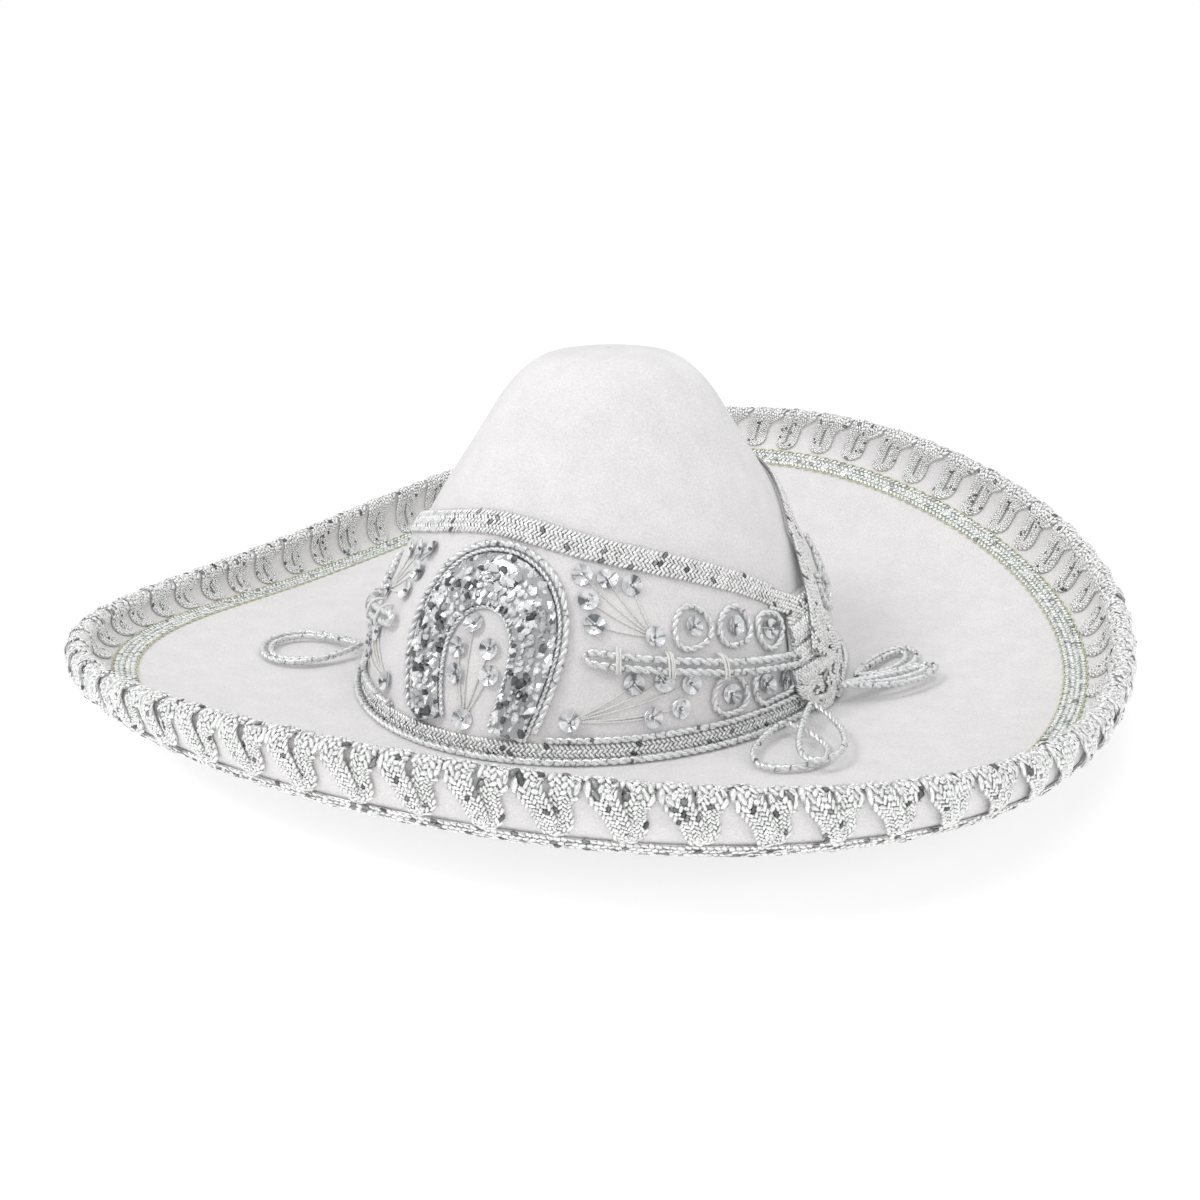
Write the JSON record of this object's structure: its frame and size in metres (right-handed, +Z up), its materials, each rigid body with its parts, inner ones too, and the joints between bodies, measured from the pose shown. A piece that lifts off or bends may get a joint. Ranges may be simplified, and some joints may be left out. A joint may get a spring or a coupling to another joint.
{
  "type": "sombrero",
  "caption": "Wide-brimmed charro sombrero with an upturned lip, velvet covered, with silver braid, cord loops, a bullion horseshoe and cup sequins.",
  "frame": {"origin": "centre of the head opening, on the plane the hat rests on", "axes": "+Z up through the crown, -Y towards the front (the horseshoe), +X to the wearer's left"},
  "size_m": [0.4204, 0.41, 0.1374],
  "materials": {
    "velvet": "soft white short-pile velvet",
    "core": "stiffened felt board",
    "lining": "plain satin-like lining",
    "sweatband": "soft matt leatherette",
    "binding": "woven tape",
    "wire": "plain spring wire",
    "silver_cord": "twisted metallic yarn",
    "silver_braid": "flat woven metallic braid",
    "foil_ribbon": "faceted metallic foil on a thread-edged ribbon",
    "padding": "felt pad",
    "bullion": "crumpled metallic strip, mirror-like facets",
    "sequins": "faceted metallic cup sequins",
    "thread": "white sewing thread",
    "chin_cord": "round braided cord",
    "slider": "moulded bead"
  },
  "bodies": {
    "hat": {"crown_shell": "core", "crown_velvet": "velvet", "crown_lining": "lining", "sweatband": "sweatband", "opening_binding": "binding", "brim_core": "core", "brim_top_velvet": "velvet", "brim_under_velvet": "velvet", "rim_wire": "wire", "rim_scroll_braid": "silver_cord", "rim_lower_braid": "silver_braid", "brim_sequin_ribbon": "foil_ribbon", "front_band_panel": "velvet", "back_band_panel": "velvet", "front_band_braid": "silver_braid", "back_band_braid": "silver_braid", "base_braid": "silver_braid", "base_cord": "silver_cord", "horseshoe_pad": "padding", "horseshoe_bullion": "bullion", "horseshoe_edge_cords": "silver_cord", "horseshoe_outer_cord": "silver_cord", "horseshoe_sequins": "sequins", "spray_sequins_right": "sequins", "spray_sequins_left": "sequins", "back_sequins": "sequins", "spray_threads": "thread", "rosette_cords": "silver_cord", "rosette_sequins": "sequins", "mid_cord_right": "silver_cord", "mid_cord_left": "silver_cord", "lower_cord_right": "silver_cord", "lower_cord_left": "silver_cord", "thread_ties": "thread", "side_knot_right": "silver_braid", "side_knot_left": "silver_braid", "chin_cord": "chin_cord", "chin_cord_tabs": "sweatband", "chin_cord_knot": "chin_cord"},
    "right_front_cord_loops": {"right_front_loops": "silver_cord"},
    "right_back_cord_loops": {"right_back_loops": "silver_cord"},
    "left_front_cord_loops": {"left_front_loops": "silver_cord"},
    "left_back_cord_loops": {"left_back_loops": "silver_cord"},
    "slider": {"chin_slider": "slider"}
  },
  "joints": [
    {"name": "right_front_loops_lift", "type": "hinge", "parent": "hat", "child": "right_front_cord_loops", "pos_m": [0.1012, -0.0325, 0.0107], "axis": [-0.9172, -0.3985, 0], "range_deg": [0, 40]},
    {"name": "right_back_loops_lift", "type": "hinge", "parent": "hat", "child": "right_back_cord_loops", "pos_m": [0.1064, 0.0099, 0.0107], "axis": [0.9337, -0.3581, 0], "range_deg": [0, 40]},
    {"name": "left_front_loops_lift", "type": "hinge", "parent": "hat", "child": "left_front_cord_loops", "pos_m": [-0.0952, -0.051, 0.0092], "axis": [-0.5852, 0.8109, 0], "range_deg": [0, 40]},
    {"name": "left_back_loops_lift", "type": "hinge", "parent": "hat", "child": "left_back_cord_loops", "pos_m": [-0.1065, 0.0099, 0.0107], "axis": [0.9333, 0.3592, 0], "range_deg": [0, 40]},
    {"name": "chin_slider_slide", "type": "slide", "parent": "hat", "child": "slider", "axis": [0, 1, 0], "range_m": [0, 0.03]}
  ]
}
